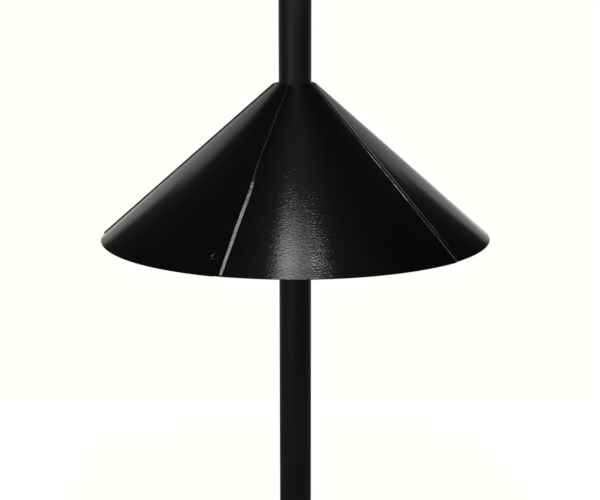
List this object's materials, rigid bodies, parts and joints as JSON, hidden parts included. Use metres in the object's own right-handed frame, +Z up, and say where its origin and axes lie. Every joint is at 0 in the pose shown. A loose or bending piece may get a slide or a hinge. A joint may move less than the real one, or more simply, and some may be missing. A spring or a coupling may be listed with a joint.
{
  "type": "pole baffle",
  "caption": "Shallow black sheet-steel cone of lapped panels that hangs, free to turn and rock, on a clamp collar round a straight tube pole to stop climbing animals.",
  "frame": {"origin": "middle of the pole's open lower end, where it takes the coupler of the section below", "axes": "+Z up along the pole, -Y towards the front, +X to the right seen from the front"},
  "size_m": [0.3854, 0.3851, 0.623],
  "materials": {
    "pole_coat": "satin black powder coat",
    "panel_coat": "fine-textured black powder coat",
    "screw_coat": "black oxide",
    "zinc": "zinc plated",
    "collar_nylon": "moulded matt",
    "ring_nylon": "moulded satin",
    "liner_rubber": "matt rubber"
  },
  "bodies": {
    "pole": {"pole_tube": "pole_coat", "pole_coupler": "pole_coat"},
    "collar": {"collar_half_front": "collar_nylon", "collar_half_rear": "collar_nylon", "collar_liner_front": "liner_rubber", "collar_liner_rear": "liner_rubber", "clamp_bolt_left": "zinc", "clamp_bolt_right": "zinc", "clamp_washers": "zinc"},
    "left_wing_nut": {"wing_nut_left": "zinc"},
    "right_wing_nut": {"wing_nut_right": "zinc"},
    "ring": {"pivot_ring": "ring_nylon"},
    "cone": {"cone_panel_1": "panel_coat", "cone_panel_2": "panel_coat", "cone_panel_3": "panel_coat", "cone_panel_4": "panel_coat", "cone_panel_5": "panel_coat", "seam_screw": "screw_coat", "seam_washer": "zinc", "seam_nut": "zinc"}
  },
  "joints": [
    {"name": "height_slide", "type": "slide", "parent": "pole", "child": "collar", "axis": [0, 0, 1], "range_m": [-0.25, 0.1]},
    {"name": "left_nut_turn", "type": "hinge", "parent": "collar", "child": "left_wing_nut", "pos_m": [-0.0367, 0.0088, 0.40994], "axis": [0, 1, 0], "continuous": true},
    {"name": "right_nut_turn", "type": "hinge", "parent": "collar", "child": "right_wing_nut", "pos_m": [0.0367, 0.0088, 0.40994], "axis": [0, 1, 0], "continuous": true},
    {"name": "cone_turn", "type": "hinge", "parent": "collar", "child": "ring", "pos_m": [0, 0, 0.44814], "axis": [0, 0, 1], "continuous": true},
    {"name": "cone_rock", "type": "hinge", "parent": "ring", "child": "cone", "pos_m": [0, 0, 0.43414], "axis": [1, 0, 0], "range_deg": [-4, 4]}
  ]
}
